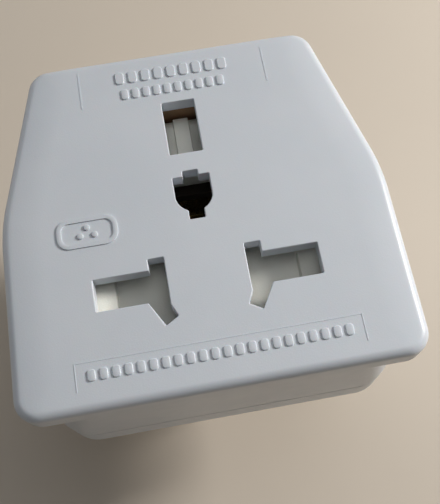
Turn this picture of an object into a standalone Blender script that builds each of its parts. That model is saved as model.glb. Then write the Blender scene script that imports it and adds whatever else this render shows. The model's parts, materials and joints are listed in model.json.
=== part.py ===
"""Universal travel adapter: a universal socket on the front, a BS 1363 plug at the back.

Frame: +Z points out of the socket face, the plug pins point along -Z, +Y points to the
earth pin and +X to the line pin. The origin is on the plug's base face, midway between
the line and neutral pins. Sizes are written in millimetres and scaled to metres.
"""
import math

import bmesh
import bpy

MM = 0.001
GAP = 0.3  # running gap between neighbouring pieces

# Casing outline, as its sharp corners on the +X side, and the radius at each
FACE_Z = 29.5
TOP_CORNER, TOP_RADIUS = (19.9, 34.8), 2.9
KINK_CORNER, KINK_RADIUS = (26.0, 11.7), 27.0
BOTTOM_CORNER, BOTTOM_RADIUS = (26.3, -14.6), 3.2
CORNER_STEPS = 6

# Levels and walls
PLATE_THICKNESS = 2.2
SKIRT_DEPTH, SKIRT_WALL = 4.0, 1.3
BODY_INSET, BODY_WALL = 0.9, 1.7
BODY_CORNER_RADIUS = 6.0
SIDE_DRAFT, DRAFT_START_Z, NECK_Z = 2.1, 9.0, 24.0  # the side walls draw in towards the cover
SPLIT_Z = 6.0
LIP_TOP = 8.5
FLOOR_THICKNESS = 3.0
DECK_Z, DECK_THICKNESS = 19.6, 1.7
DECK_RIM_TOP = 22.7

# Pins of a BS 1363 plug
PIN_SPACING, EARTH_Y = 22.22, 22.225
PIN_WIDTH, PIN_THICKNESS, PIN_LENGTH = 6.35, 4.0, 17.7
EARTH_HALF_X, EARTH_HALF_Y, EARTH_LENGTH = 2.0, 4.0, 22.73
SLEEVE_LENGTH, SLEEVE_WALL = 9.5, 0.45
FLANGE_TOP = 5.0

# Universal holes in the face, for the line side; the neutral side mirrors them
SLOT_OUTER_X, SLOT_HALF_HEIGHT = 14.7, 2.15
BLADE_INNER_X, BLADE_OUTER_X, BLADE_TOP_Y = 5.28, 7.4, 3.7
DIAGONAL_START_Y, DIAGONAL_RIGHT_X = -2.81, 8.05
DIAGONAL_TIPS = ((4.53, -4.44), (6.22, -5.45))
EARTH_SLOT_HALF_X, EARTH_SLOT_HALF_Y = 2.28, 4.08
ROUND_HOLE_Y, ROUND_HOLE_RADIUS, ROUND_HOLE_TOP_Y = 11.9, 2.5, 14.6
CENTRE_SLOT_HALF_X, CENTRE_SLOT_Y = 1.05, (8.3, 15.4)

# Shutter
WING_Y = (-4.6, 5.4)
WING_X = (3.6, 12.2, 15.2)
WING_Z = (23.3, 25.2)
ARM_X = (3.6, 5.4)
TONGUE_Y = (16.4, 26.1)
TONGUE_TOP = 25.4
SHUTTER_TRAVEL = 8.0
CROSSBAR_Y = (6.2, 7.7)
SPRING_RADIUS, SPRING_WIRE, SPRING_TURNS = 1.15, 0.2, 7

# Contacts: their web, the level where the leaves pinch, and their top
CONTACT_WEB_Z, CONTACT_PINCH_Z, CONTACT_TOP_Z = (8.6, 9.1), 17.8, 19.2

# Fuse: a 25.4 x 6.3 mm cartridge lying across the plug base
FUSE_Y, FUSE_Z = 10.2, 6.2
FUSE_RADIUS, FUSE_HALF_LENGTH, FUSE_CAP_LENGTH = 3.15, 12.7, 6.0
CLIP_X = (8.2, 12.2)
CARRIER_HALF_X, CARRIER_HALF_Y = 15.2, 4.4

SCREW_PLACES = {"left": (-13.0, 28.0), "right": (13.0, 28.0), "front": (0.0, -9.0)}
POST_RADIUS, BOSS_RADIUS, PILOT_RADIUS = 2.3, 2.5, 1.45
SHANK_RADIUS, HEAD_RADIUS = 1.15, 2.4

MATERIALS = {
    "casing": ((0.74, 0.77, 0.80, 1.0), 0.32, 0.0),
    "inner_moulding": ((0.08, 0.065, 0.05, 1.0), 0.50, 0.0),
    "shutter_plastic": ((0.80, 0.80, 0.76, 1.0), 0.40, 0.0),
    "brass": ((0.72, 0.55, 0.25, 1.0), 0.30, 1.0),
    "sleeve_plastic": ((0.03, 0.03, 0.03, 1.0), 0.45, 0.0),
    "steel": ((0.60, 0.60, 0.62, 1.0), 0.30, 1.0),
    "plated_cap": ((0.78, 0.78, 0.76, 1.0), 0.25, 1.0),
    "ceramic": ((0.80, 0.78, 0.72, 1.0), 0.50, 0.0),
}


# ---------------------------------------------------------------- helpers

def make_materials():
    made = {}
    for name, (colour, roughness, metallic) in MATERIALS.items():
        material = bpy.data.materials.new(name)
        material.use_nodes = True
        shader = material.node_tree.nodes["Principled BSDF"]
        shader.inputs["Base Color"].default_value = colour
        shader.inputs["Roughness"].default_value = roughness
        shader.inputs["Metallic"].default_value = metallic
        made[name] = material
    return made


def add_object(name, mesh_data, material=None):
    """Turn a bmesh into an object; without a material it is a hidden helper."""
    bmesh.ops.recalc_face_normals(mesh_data, faces=mesh_data.faces)
    mesh = bpy.data.meshes.new(name)
    mesh_data.to_mesh(mesh)
    mesh_data.free()
    item = bpy.data.objects.new(name, mesh)
    bpy.context.scene.collection.objects.link(item)
    if material:
        mesh.materials.append(material)
    else:
        item.hide_render = True
        item.display_type = "WIRE"
    return item


def loft(name, loops, material=None, ring=False):
    """A solid through loops of equal length; ring joins the last loop to the first."""
    shape = bmesh.new()
    rows = [[shape.verts.new([c * MM for c in point]) for point in loop] for loop in loops]
    count = len(rows[0])
    pairs = list(zip(rows, rows[1:]))
    if ring:
        pairs.append((rows[-1], rows[0]))
    else:
        shape.faces.new(rows[0])
        shape.faces.new(rows[-1])
    for low, high in pairs:
        for i in range(count):
            j = (i + 1) % count
            shape.faces.new((low[i], low[j], high[j], high[i]))
    return add_object(name, shape, material)


def bar(name, sections, material=None):
    """A solid through rectangles, each given as (z, x0, x1, y0, y1)."""
    loops = [
        [(x0, y0, z), (x1, y0, z), (x1, y1, z), (x0, y1, z)]
        for z, x0, x1, y0, y1 in sections
    ]
    return loft(name, loops, material)


def box(name, x, y, z, material=None):
    return bar(name, [(z[0], *x, *y), (z[1], *x, *y)], material)


def prism(name, outline, axis, span, material=None):
    """Extrude an outline along X or Z; on X the outline's points are (y, z)."""
    if axis == "X":
        loops = [[(level, a, b) for a, b in outline] for level in span]
    else:
        loops = [[(a, b, level) for a, b in outline] for level in span]
    return loft(name, loops, material)


def turned(name, centre, profile, material=None, axis="Z", sides=24, ring=False):
    """A round solid from a profile of (radius, level) along an axis through centre."""
    loops = []
    for radius, level in profile:
        loop = []
        for i in range(sides):
            angle = 2 * math.pi * i / sides
            a, b = radius * math.cos(angle), radius * math.sin(angle)
            if axis == "Z":
                loop.append((centre[0] + a, centre[1] + b, level))
            else:
                loop.append((level, centre[0] + a, centre[1] + b))
        loops.append(loop)
    return loft(name, loops, material, ring)


def combine(target, helpers, operation="UNION"):
    for helper in helpers:
        helper.hide_render = True
        helper.display_type = "WIRE"
        modifier = target.modifiers.new(helper.name, "BOOLEAN")
        modifier.operation = operation
        modifier.object = helper
        modifier.solver = "EXACT"
    return target


def cut(target, helpers):
    return combine(target, helpers, "DIFFERENCE")


def casing_outline(z, inset, draft=0.0, bottom_radius=BOTTOM_RADIUS):
    """The rounded casing outline at level z, moved inwards by inset, and by draft more at the sides."""
    corners = [TOP_CORNER, KINK_CORNER, BOTTOM_CORNER]
    sharp = corners + [(-x, y) for x, y in reversed(corners)]
    radii = [TOP_RADIUS, KINK_RADIUS, bottom_radius]
    radii = radii + radii[::-1]
    count = len(sharp)
    edges = []
    for i in range(count):
        is_side = i % len(corners) != 0
        edges.append(edge_line(sharp[i - 1], sharp[i], inset + draft if is_side else inset))
    moved = [line_crossing(edges[i], edges[(i + 1) % count]) for i in range(count)]
    points = []
    for i in range(count):
        radius = max(radii[i] - inset, 0.7)
        points += corner_arc(moved[i - 1], moved[i], moved[(i + 1) % count], radius)
    return [(x, y, z) for x, y in points]


def edge_line(start, end, inset):
    """A clockwise outline's edge moved inwards, as a point and a unit direction."""
    dx, dy = end[0] - start[0], end[1] - start[1]
    length = math.hypot(dx, dy)
    dx, dy = dx / length, dy / length
    return (start[0] + dy * inset, start[1] - dx * inset), (dx, dy)


def line_crossing(first, second):
    (px, py), (ux, uy) = first
    (qx, qy), (vx, vy) = second
    step = ((qx - px) * vy - (qy - py) * vx) / (ux * vy - uy * vx)
    return (px + ux * step, py + uy * step)


def corner_arc(before, corner, after, radius):
    """Points of the arc that rounds a corner between two straight edges."""
    to_before = math.atan2(before[1] - corner[1], before[0] - corner[0])
    to_after = math.atan2(after[1] - corner[1], after[0] - corner[0])
    turn = (to_after - to_before) % (2 * math.pi)
    half = turn / 2 if turn < math.pi else turn / 2 - math.pi
    middle = to_before + half
    reach = radius / math.sin(abs(half))
    centre = (corner[0] + reach * math.cos(middle), corner[1] + reach * math.sin(middle))
    sweep = math.pi - 2 * abs(half)
    first = middle + math.pi + sweep / 2
    return [
        (
            centre[0] + radius * math.cos(first - sweep * k / CORNER_STEPS),
            centre[1] + radius * math.sin(first - sweep * k / CORNER_STEPS),
        )
        for k in range(CORNER_STEPS + 1)
    ]


def casing_solid(name, levels, material=None, ring=False, bottom_radius=BOTTOM_RADIUS):
    """A solid following the casing outline through (z, inset) or (z, inset, draft) levels."""
    loops = [casing_outline(*level, bottom_radius=bottom_radius) for level in levels]
    return loft(name, loops, material, ring)


def mirrored(side, a, b):
    """A span along X on one side, low end first."""
    return sorted((side * a, side * b))


def post_cutters(prefix, radius, z):
    return [
        turned(f"{prefix}_{side}_cut", place, [(radius, z[0]), (radius, z[1])])
        for side, place in SCREW_PLACES.items()
    ]


# ---------------------------------------------------------------- casing

def slot_outline(side):
    """The universal hole on one side: flat pin, upright blade and slanted blade."""
    points = [
        (SLOT_OUTER_X, SLOT_HALF_HEIGHT),
        (BLADE_OUTER_X, SLOT_HALF_HEIGHT),
        (BLADE_OUTER_X, BLADE_TOP_Y),
        (BLADE_INNER_X, BLADE_TOP_Y),
        (BLADE_INNER_X, DIAGONAL_START_Y),
        DIAGONAL_TIPS[0],
        DIAGONAL_TIPS[1],
        (DIAGONAL_RIGHT_X, -SLOT_HALF_HEIGHT),
        (SLOT_OUTER_X, -SLOT_HALF_HEIGHT),
    ]
    return [(side * x, y) for x, y in points]


def round_hole_outline():
    """The round earth hole, squared off at its top and crossed by an upright slot."""
    low, high = CENTRE_SLOT_Y
    start = math.acos(CENTRE_SLOT_HALF_X / ROUND_HOLE_RADIUS)
    steps = 8
    arc = [
        (
            ROUND_HOLE_RADIUS * math.cos(start * k / steps),
            ROUND_HOLE_Y - ROUND_HOLE_RADIUS * math.sin(start * k / steps),
        )
        for k in range(steps + 1)
    ]
    right = [
        (CENTRE_SLOT_HALF_X, high),
        (CENTRE_SLOT_HALF_X, ROUND_HOLE_TOP_Y),
        (ROUND_HOLE_RADIUS, ROUND_HOLE_TOP_Y),
        *arc,
        (CENTRE_SLOT_HALF_X, low),
    ]
    return right + [(-x, y) for x, y in reversed(right)]


def earth_box(name, margin, z):
    half_x, half_y = EARTH_SLOT_HALF_X + margin, EARTH_SLOT_HALF_Y + margin
    return box(name, (-half_x, half_x), (EARTH_Y - half_y, EARTH_Y + half_y), z)


def make_face_cover(materials):
    under = FACE_Z - PLATE_THICKNESS
    skirt = FACE_Z - SKIRT_DEPTH
    edge = 1.2
    levels = [(skirt, 0.0), (FACE_Z - edge, 0.0)]
    for degrees in (22.5, 45.0, 67.5, 90.0):
        angle = math.radians(degrees)
        levels.append(
            (FACE_Z - edge + edge * math.sin(angle), edge - edge * math.cos(angle))
        )
    cover = casing_solid("face_cover", levels, materials["casing"])
    cut(cover, [casing_solid("cover_hollow", [(skirt - 1, SKIRT_WALL), (under, SKIRT_WALL)])])
    combine(cover, [
        turned(f"cover_post_{side}", place, [(POST_RADIUS, LIP_TOP + GAP), (POST_RADIUS, under + 0.5)])
        for side, place in SCREW_PLACES.items()
    ])
    through = (under - 1, FACE_Z + 1)
    cut(cover, [
        prism("line_hole", slot_outline(1), "Z", through),
        prism("neutral_hole", slot_outline(-1), "Z", through),
        prism("round_hole", round_hole_outline(), "Z", through),
        earth_box("earth_hole", 0.0, through),
        *post_cutters("pilot", PILOT_RADIUS, (SPLIT_Z, 15.0)),
    ])
    return cover


def make_body_shell(materials):
    """A sleeve whose side walls draw in, then flare to a collar under the cover's skirt.

    Pockets in its front wall take the wings of the open shutter.
    """
    collar = FACE_Z - SKIRT_DEPTH - GAP
    low, high = SPLIT_Z + GAP, FACE_Z - PLATE_THICKNESS - GAP
    rim_outer, inner = SKIRT_WALL + GAP, BODY_INSET + BODY_WALL
    levels = [
        (low, BODY_INSET),
        (DRAFT_START_Z, BODY_INSET),
        (NECK_Z, BODY_INSET, SIDE_DRAFT),
        (collar, BODY_INSET),
        (collar, rim_outer),
        (high, rim_outer),
        (high, inner),
        (collar, inner),
        (NECK_Z, inner, SIDE_DRAFT),
        (DRAFT_START_Z, inner),
        (low, inner),
    ]
    shell = casing_solid("body_shell", levels, materials["casing"], True, BODY_CORNER_RADIUS)
    wall_x = BOTTOM_CORNER[0] - inner
    ribs = []
    for side in (-1, 1):
        for number, y in enumerate((-6.0, 6.0)):
            x = mirrored(side, wall_x - SIDE_DRAFT - 1.4, wall_x - 0.2)
            ribs.append(box(f"rib_{side}_{number}", x, (y - 1, y + 1), (11.0, DECK_Z - GAP)))
    combine(shell, ribs)
    y = (WING_Y[0] - SHUTTER_TRAVEL - GAP, BOTTOM_CORNER[1] + inner + 0.5)
    inner_x, riser_x, outer_x = WING_X
    pockets = []
    for side in (-1, 1):
        pockets += [
            box(f"wing_pocket_{side}", mirrored(side, inner_x - GAP, outer_x + GAP), y,
                (WING_Z[0] - GAP, collar + GAP)),
            box(f"rim_notch_{side}", mirrored(side, riser_x - GAP, outer_x + GAP), (y[0] - 0.5, y[1]),
                (collar - 0.1, high + 1)),
        ]
    return cut(shell, pockets)


def make_plug_base(materials):
    inner = BODY_INSET + BODY_WALL
    lip = inner + GAP
    edge = 0.8
    levels = [(0.0, BODY_INSET + edge), (0.25, BODY_INSET + 0.25), (edge, BODY_INSET)]
    levels += [(SPLIT_Z, BODY_INSET), (SPLIT_Z, lip), (LIP_TOP, lip)]
    base = casing_solid("plug_base", levels, materials["casing"], bottom_radius=BODY_CORNER_RADIUS)
    hollow = [(FLOOR_THICKNESS, lip + 1.3), (LIP_TOP + 1, lip + 1.3)]
    cut(base, [casing_solid("base_hollow", hollow, bottom_radius=BODY_CORNER_RADIUS)])
    combine(base, [
        turned(f"base_boss_{side}", place, [(BOSS_RADIUS, 2.0), (BOSS_RADIUS, LIP_TOP)])
        for side, place in SCREW_PLACES.items()
    ])
    depth = (-1.0, FLOOR_THICKNESS + 1)
    holes = [
        box("bay_hole", (-CARRIER_HALF_X - GAP, CARRIER_HALF_X + GAP),
            (FUSE_Y - CARRIER_HALF_Y - GAP, FUSE_Y + CARRIER_HALF_Y + GAP), depth),
        box("earth_pin_hole", (-EARTH_HALF_X - GAP, EARTH_HALF_X + GAP),
            (EARTH_Y - EARTH_HALF_Y - GAP, EARTH_Y + EARTH_HALF_Y + GAP), depth),
    ]
    for side in (-1, 1):
        middle = side * PIN_SPACING / 2
        reach = PIN_WIDTH / 2 + GAP
        holes.append(box(f"pin_hole_{side}", (middle - reach, middle + reach),
                         (-2 - GAP, 2 + GAP), depth))
    holes += post_cutters("head", HEAD_RADIUS + GAP, (-1.0, 2.4))
    holes += post_cutters("shank", PILOT_RADIUS, (1.0, LIP_TOP + 1))
    return cut(base, holes)


# ---------------------------------------------------------------- contact deck and shutter

def make_contact_carrier(materials):
    top = DECK_Z + DECK_THICKNESS
    edge = BODY_INSET + BODY_WALL + GAP
    profile = [(DECK_Z, edge), (DECK_RIM_TOP, edge), (DECK_RIM_TOP, edge + 0.9), (top, edge + 0.9)]
    levels = [(z, inset, SIDE_DRAFT) for z, inset in profile]
    deck = casing_solid(
        "contact_carrier", levels, materials["inner_moulding"], bottom_radius=BODY_CORNER_RADIUS)
    low, hold_top = top - 0.3, FACE_Z - PLATE_THICKNESS - GAP
    guides = []
    for side in (-1, 1):
        guides += [
            box(f"guide_rail_{side}", mirrored(side, ARM_X[1] + GAP, ARM_X[1] + 1.1), (6.9, 16.0),
                (low, 25.0)),
            box(f"runner_{side}", mirrored(side, 3.9, 5.1), (5.0, 16.0), (low, 22.6)),
            box(f"stop_peg_{side}", mirrored(side, 8.0, 11.0), (WING_Y[1] + GAP, WING_Y[1] + 1.5),
                (low, WING_Z[1])),
            box(f"partition_{side}", mirrored(side, 3.5, 4.3), (-10.0, 3.4), (9.5, DECK_Z + 0.3)),
            box(f"front_hold_down_{side}", mirrored(side, 17.0, 18.6), (-8.0, -6.0), (low, hold_top)),
            box(f"rear_hold_down_{side}", mirrored(side, 14.6, 16.2), (20.0, 22.0), (low, hold_top)),
        ]
    combine(deck, guides)
    through = (DECK_Z - 1, top + 1)
    holes = [
        earth_box("deck_earth_hole", 0.35, through),
        box("deck_round_hole", (-2.9, 2.9), (8.0, 15.7), through),
        *post_cutters("deck_post", POST_RADIUS + GAP, (8.0, top + 2)),
    ]
    for side in (-1, 1):
        holes += [
            box(f"deck_pin_hole_{side}", mirrored(side, 5.3, 14.95), (-2.5, 2.5), through),
            box(f"deck_blade_hole_{side}", mirrored(side, 4.4, 8.2), (-5.8, 4.0), through),
        ]
    return cut(deck, holes)


def wing(name, side):
    """A plate behind one slot, with a riser and a rising ramp at its outer end."""
    inner, riser, outer = WING_X
    low, high = WING_Z
    section = [
        (inner, low), (outer, low), (outer, high + 1.7), (riser + 0.15, high + 0.7),
        (riser, high), (inner, high),
    ]
    loops = [[(side * x, y, z) for x, z in section] for y in WING_Y]
    return loft(name, loops)


def make_shutter(materials):
    """Two wings behind the line and neutral holes, and a ramped tongue behind earth."""
    low, high = 22.9, 25.0
    body = box("shutter", (-ARM_X[1], ARM_X[1]), CROSSBAR_Y, (low, high), materials["shutter_plastic"])
    pieces = []
    for side in (-1, 1):
        pieces += [
            box(f"arm_{side}", mirrored(side, *ARM_X), (3.0, TONGUE_Y[0] + 1), (low, high)),
            wing(f"wing_{side}", side),
        ]
    start, end = TONGUE_Y
    top = TONGUE_TOP
    ramp = [(start, low), (end, low), (end, top - 0.9), (end - 1.6, top), (start, top)]
    rib = [
        (start + 0.4, top - 1.0), (end, top - 1.1), (end, top - 0.2),
        (end - 3.4, top + 0.8), (start + 0.4, top + 0.8),
    ]
    pieces += [
        prism("tongue", ramp, "X", (-ARM_X[1], ARM_X[1])),
        prism("tongue_rib", rib, "X", (-1.1, 1.1)),
    ]
    return combine(body, pieces)


def make_shutter_spring(materials):
    start = SCREW_PLACES["front"][1] + POST_RADIUS + GAP + SPRING_WIRE
    end = CROSSBAR_Y[0] - GAP - SPRING_WIRE
    steps = SPRING_TURNS * 12
    curve = bpy.data.curves.new("shutter_spring", "CURVE")
    curve.dimensions = "3D"
    curve.bevel_depth = SPRING_WIRE * MM
    curve.bevel_resolution = 1
    curve.use_fill_caps = True
    curve.materials.append(materials["steel"])
    spline = curve.splines.new("POLY")
    spline.points.add(steps)
    for i, point in enumerate(spline.points):
        angle = 2 * math.pi * i / 12
        x = SPRING_RADIUS * math.cos(angle)
        y = start + (end - start) * i / steps
        z = 24.1 + SPRING_RADIUS * math.sin(angle)
        point.co = (x * MM, y * MM, z * MM, 1.0)
    spring = bpy.data.objects.new("shutter_spring", curve)
    bpy.context.scene.collection.objects.link(spring)
    return spring


# ---------------------------------------------------------------- contacts and pins

def make_pin_contact(name, side, materials):
    """Two leaves grip a flat pin, two more grip an upright blade, on one web."""
    web_low = CONTACT_WEB_Z[0]
    contact = box(name, mirrored(side, 4.7, 13.4), (-2.85, 2.85), CONTACT_WEB_Z, materials["brass"])
    leaves = []
    for up in (-1, 1):
        def level(z, inner):
            return (z, *mirrored(side, 9.0, 13.4), *sorted((up * inner, up * (inner + 0.5))))
        leaves.append(bar(f"{name}_pin_leaf_{up}", [
            level(web_low, 2.35), level(CONTACT_PINCH_Z, 2.25), level(CONTACT_TOP_Z, 2.7)]))
    for number, (x0, x1) in enumerate(((4.7, 5.1), (7.5, 7.85))):
        leaves.append(box(f"{name}_blade_leaf_{number}", mirrored(side, x0, x1), (-2.4, 2.4),
                          (web_low, CONTACT_TOP_Z)))
    return combine(contact, leaves)


def make_earth_contact(materials):
    web_low, top = CONTACT_WEB_Z[0], CONTACT_TOP_Z
    contact = box("earth_contact", (-3.0, 3.0), (18.4, 26.0), CONTACT_WEB_Z, materials["brass"])
    outline = [(18.4, web_low), (26.0, web_low), (26.0, top), (9.8, top), (9.8, 13.2), (18.4, 13.2)]
    combine(contact, [
        prism("earth_leaf_left", outline, "X", (-3.0, -2.5)),
        prism("earth_leaf_right", outline, "X", (2.5, 3.0)),
    ])
    return cut(contact, [turned("earth_web_hole", (0, EARTH_Y), [(0.9, 8.0), (0.9, 10.0)], sides=12)])


def make_pin(name, x, stem_top, materials):
    """A flat pin, waisted under its sleeve, with a flange and a riveted stem."""
    half_x, half_y = PIN_WIDTH / 2, PIN_THICKNESS / 2
    waist = SLEEVE_WALL + 0.2
    sleeve_end = -SLEEVE_LENGTH - 0.2
    shape = [
        (-PIN_LENGTH, half_x - 0.8, half_y - 0.8),
        (1.4 - PIN_LENGTH, half_x, half_y),
        (sleeve_end, half_x, half_y),
        (sleeve_end, half_x - waist, half_y - waist),
        (FLOOR_THICKNESS + GAP, half_x - waist, half_y - waist),
        (FLOOR_THICKNESS + GAP, 4.1, 2.9),
        (FLANGE_TOP, 4.1, 2.9),
        (FLANGE_TOP, 1.6, 1.6),
        (stem_top, 1.6, 1.6),
    ]
    pin = bar(name, [(z, x - a, x + a, -b, b) for z, a, b in shape], materials["brass"])
    return cut(pin, [turned(f"{name}_rivet_hole", (x, 0),
                            [(0.9, stem_top - 1.0), (0.9, stem_top + 1)], sides=12)])


def make_sleeve(name, x, materials):
    half_x, half_y = PIN_WIDTH / 2, PIN_THICKNESS / 2
    low, high = -SLEEVE_LENGTH, FLOOR_THICKNESS
    loops = []
    for z, wall in ((low, 0.0), (high, 0.0), (high, SLEEVE_WALL), (low, SLEEVE_WALL)):
        a, b = half_x - wall, half_y - wall
        loops.append([(x - a, -b, z), (x + a, -b, z), (x + a, b, z), (x - a, b, z)])
    return loft(name, loops, materials["sleeve_plastic"], ring=True)


def make_earth_pin(materials):
    shape = [
        (-EARTH_LENGTH, 1.1, 3.0),
        (2.0 - EARTH_LENGTH, EARTH_HALF_X, EARTH_HALF_Y),
        (FLOOR_THICKNESS + GAP, EARTH_HALF_X, EARTH_HALF_Y),
        (FLOOR_THICKNESS + GAP, 3.0, 4.9),
        (FLANGE_TOP, 3.0, 4.9),
        (FLANGE_TOP, 1.6, 2.4),
        (8.3, 1.6, 2.4),
    ]
    sections = [(z, -a, a, EARTH_Y - b, EARTH_Y + b) for z, a, b in shape]
    pin = bar("earth_pin", sections, materials["brass"])
    return cut(pin, [turned("earth_pin_rivet_hole", (0, EARTH_Y), [(0.9, 7.3), (0.9, 9.3)], sides=12)])


def make_rivet(name, centre, seat, materials):
    """A domed head above seat, with its stem reaching down into the pin."""
    profile = [(0.6, seat - 1.3), (0.6, seat), (1.3, seat), (1.2, seat + 0.4), (0.6, seat + 0.7)]
    return turned(name, centre, profile, materials["brass"], sides=12)


def make_straps(materials):
    line_x = PIN_SPACING / 2
    strap = box("line_strap", (line_x - 2, line_x + 2), (-2.0, 6.0), (6.5, 7.0), materials["brass"])
    cut(strap, [turned("line_strap_hole", (line_x, 0), [(0.9, 6.0), (0.9, 8.0)], sides=12)])
    z = (10.5, 11.0)
    load = box("load_strap", (-12.2, 13.0), (4.2, 5.9), z, materials["brass"])
    combine(load, [
        box("load_strap_fuse_end", (-12.2, -8.2), (4.2, 13.9), z),
        box("load_strap_contact_end", (9.4, 13.0), (3.2, 5.9), z),
    ])


# ---------------------------------------------------------------- fuse and its drawer

def make_fuse(materials):
    centre = (FUSE_Y, FUSE_Z)
    tube_end = FUSE_HALF_LENGTH - 0.9
    turned("fuse_tube", centre, [(2.55, -tube_end), (2.55, tube_end)], materials["ceramic"], axis="X")
    for side, name in ((1, "fuse_cap_line"), (-1, "fuse_cap_load")):
        end, mouth = side * FUSE_HALF_LENGTH, side * (FUSE_HALF_LENGTH - FUSE_CAP_LENGTH)
        floor = side * (FUSE_HALF_LENGTH - 0.6)
        profile = [(0.8, end), (FUSE_RADIUS - 0.4, end), (FUSE_RADIUS, end - side * 0.4)]
        profile += [(FUSE_RADIUS, mouth), (2.75, mouth), (2.75, floor), (0.8, floor)]
        turned(name, centre, profile, materials["plated_cap"], axis="X", ring=True)


def make_fuse_clip(name, side, materials):
    """A sprung bridge over the fuse's end cap, open towards the pins."""
    inner, outer = FUSE_RADIUS + GAP, FUSE_RADIUS + GAP + 0.5
    x = mirrored(side, *CLIP_X)
    clip = box(name, x, (FUSE_Y - outer, FUSE_Y + outer), (9.7, 10.2), materials["brass"])
    leaves = []
    for up in (-1, 1):
        def level(z, reach):
            low, high = sorted((up * reach, up * (reach + 0.5)))
            return (z, *x, FUSE_Y + low, FUSE_Y + high)
        leaves.append(bar(f"{name}_leaf_{up}", [
            level(4.0, inner + 0.2), level(5.0, inner), level(10.2, inner)]))
    return combine(clip, leaves)


def make_fuse_carrier(materials):
    """A cover flush with the plug base, a saddle for the fuse and two end stops."""
    y = (FUSE_Y - CARRIER_HALF_Y, FUSE_Y + CARRIER_HALF_Y)
    x = (-CARRIER_HALF_X, CARRIER_HALF_X)
    carrier = box("fuse_carrier", x, y, (0.0, 1.8), materials["casing"])
    saddle = box("saddle", (-6.0, 6.0), y, (1.5, 6.2))
    stops = [
        box(f"end_stop_{side}", mirrored(side, 13.1, 14.4), (FUSE_Y - 3, FUSE_Y + 3), (1.5, 7.0))
        for side in (-1, 1)
    ]
    combine(carrier, [saddle, *stops])
    radius = FUSE_RADIUS + GAP
    trough = turned("trough", (FUSE_Y, FUSE_Z), [(radius, -8.0), (radius, 8.0)], axis="X")
    finger = turned("finger_notch", (0, FUSE_Y - CARRIER_HALF_Y), [(1.6, -1.0), (1.6, 0.8)])
    return cut(carrier, [trough, finger])


def make_screw(name, centre, materials):
    profile = [(HEAD_RADIUS - 0.5, 0.5), (HEAD_RADIUS, 0.9), (HEAD_RADIUS, 2.1),
               (SHANK_RADIUS, 2.1), (SHANK_RADIUS, 12.5), (0.4, 13.5)]
    screw = turned(name, centre, profile, materials["steel"], sides=20)
    x, y = centre
    return cut(screw, [
        box(f"{name}_recess_a", (x - 1.4, x + 1.4), (y - 0.3, y + 0.3), (0.0, 1.3)),
        box(f"{name}_recess_b", (x - 0.3, x + 0.3), (y - 1.4, y + 1.4), (0.0, 1.3)),
    ])


# ---------------------------------------------------------------- assembly

def set_origin(item, point):
    """Move an object's origin to a point without moving its shape."""
    offset = [c * MM for c in point]
    for vertex in item.data.vertices:
        vertex.co = [a - b for a, b in zip(vertex.co, offset)]
    item.location = offset


def main():
    for item in list(bpy.data.objects):
        bpy.data.objects.remove(item, do_unlink=True)
    materials = make_materials()
    make_face_cover(materials)
    make_body_shell(materials)
    make_plug_base(materials)
    make_contact_carrier(materials)
    set_origin(make_shutter(materials), (0.0, sum(CROSSBAR_Y) / 2, 24.0))
    make_shutter_spring(materials)
    make_pin_contact("line_contact", 1, materials)
    make_pin_contact("neutral_contact", -1, materials)
    cut(bpy.data.objects["neutral_contact"], [
        turned("neutral_web_hole", (-PIN_SPACING / 2, 0), [(0.9, 8.0), (0.9, 10.0)], sides=12)])
    make_earth_contact(materials)
    make_earth_pin(materials)
    make_pin("line_pin", PIN_SPACING / 2, 6.2, materials)
    make_pin("neutral_pin", -PIN_SPACING / 2, 8.3, materials)
    make_sleeve("line_pin_sleeve", PIN_SPACING / 2, materials)
    make_sleeve("neutral_pin_sleeve", -PIN_SPACING / 2, materials)
    make_rivet("earth_rivet", (0, EARTH_Y), 9.4, materials)
    make_rivet("neutral_rivet", (-PIN_SPACING / 2, 0), 9.4, materials)
    make_rivet("line_rivet", (PIN_SPACING / 2, 0), 7.1, materials)
    make_straps(materials)
    make_fuse(materials)
    make_fuse_clip("fuse_clip_line", 1, materials)
    make_fuse_clip("fuse_clip_load", -1, materials)
    set_origin(make_fuse_carrier(materials), (0.0, FUSE_Y, 0.0))
    for side, place in SCREW_PLACES.items():
        make_screw(f"housing_screw_{side}", place, materials)


main()
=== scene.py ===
import json
import math

import bmesh
import bpy
from mathutils import Matrix, Vector


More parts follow.
